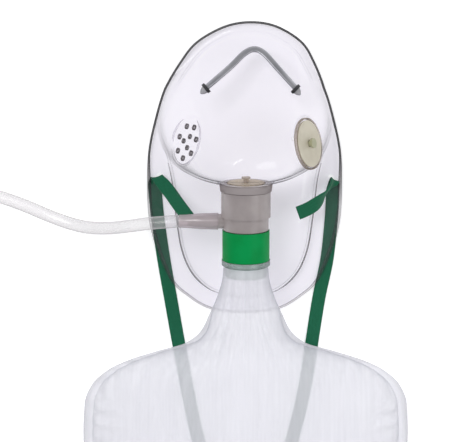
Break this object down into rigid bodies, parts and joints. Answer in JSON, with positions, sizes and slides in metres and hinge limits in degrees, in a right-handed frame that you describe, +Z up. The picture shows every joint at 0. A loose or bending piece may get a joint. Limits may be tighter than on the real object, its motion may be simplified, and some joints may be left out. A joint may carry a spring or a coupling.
{
  "type": "non-rebreathing oxygen mask",
  "caption": "Clear face mask with nose clip, exhalation valve, swivel connector, reservoir bag, elastic head strap and coiled oxygen tube.",
  "frame": {"origin": "on the table, on the mask's plane of symmetry, half way from the mask's nose bridge to the bag's far end", "axes": "+X across the mask to its exhalation valve, +Y from the bag towards the nose bridge, +Z up from the table, out of the face"},
  "size_m": [0.2904, 0.3368, 0.0499],
  "materials": {
    "clear_pvc": "clear soft vinyl, glossy",
    "bag_film": "thin translucent film, glossy and creased",
    "grey_plastic": "translucent grey moulding, satin",
    "green_plastic": "moulded, glossy",
    "green_elastic": "flat woven elastic",
    "aluminium": "soft strip, brushed",
    "silicone": "thin matt valve leaf",
    "tube_pvc": "clear flexible tubing",
    "funnel_pvc": "soft translucent green vinyl"
  },
  "bodies": {
    "root": {"mask_shell": "clear_pvc", "nose_clip": "aluminium", "exhalation_valve_stud": "clear_pvc", "bag_neck_sleeve": "clear_pvc", "green_collar": "green_plastic", "bag_front_film": "bag_film", "bag_back_film": "bag_film", "elastic_strap": "green_elastic", "oxygen_tube": "tube_pvc", "oxygen_tube_coil": "tube_pvc", "supply_connector": "funnel_pvc"},
    "connector": {"swivel_connector": "grey_plastic", "inhalation_valve_seat": "grey_plastic", "tube_cuff": "tube_pvc"},
    "inhalation_leaf": {"inhalation_valve_leaf": "silicone"},
    "exhalation_leaf": {"exhalation_valve_leaf": "silicone"}
  },
  "joints": [
    {"name": "connector_swivel", "type": "hinge", "parent": "root", "child": "connector", "pos_m": [0, 0.081, 0.025], "axis": [0, 1, 0], "range_deg": [0, 90]},
    {"name": "inhalation_leaf_lift", "type": "slide", "parent": "connector", "child": "inhalation_leaf", "axis": [0, 1, 0], "range_m": [0, 0.0016], "stiffness_N_per_m": 10},
    {"name": "exhalation_leaf_lift", "type": "slide", "parent": "root", "child": "exhalation_leaf", "axis": [0.8438, 0.1948, 0.5], "range_m": [0, 0.0012], "stiffness_N_per_m": 10}
  ]
}
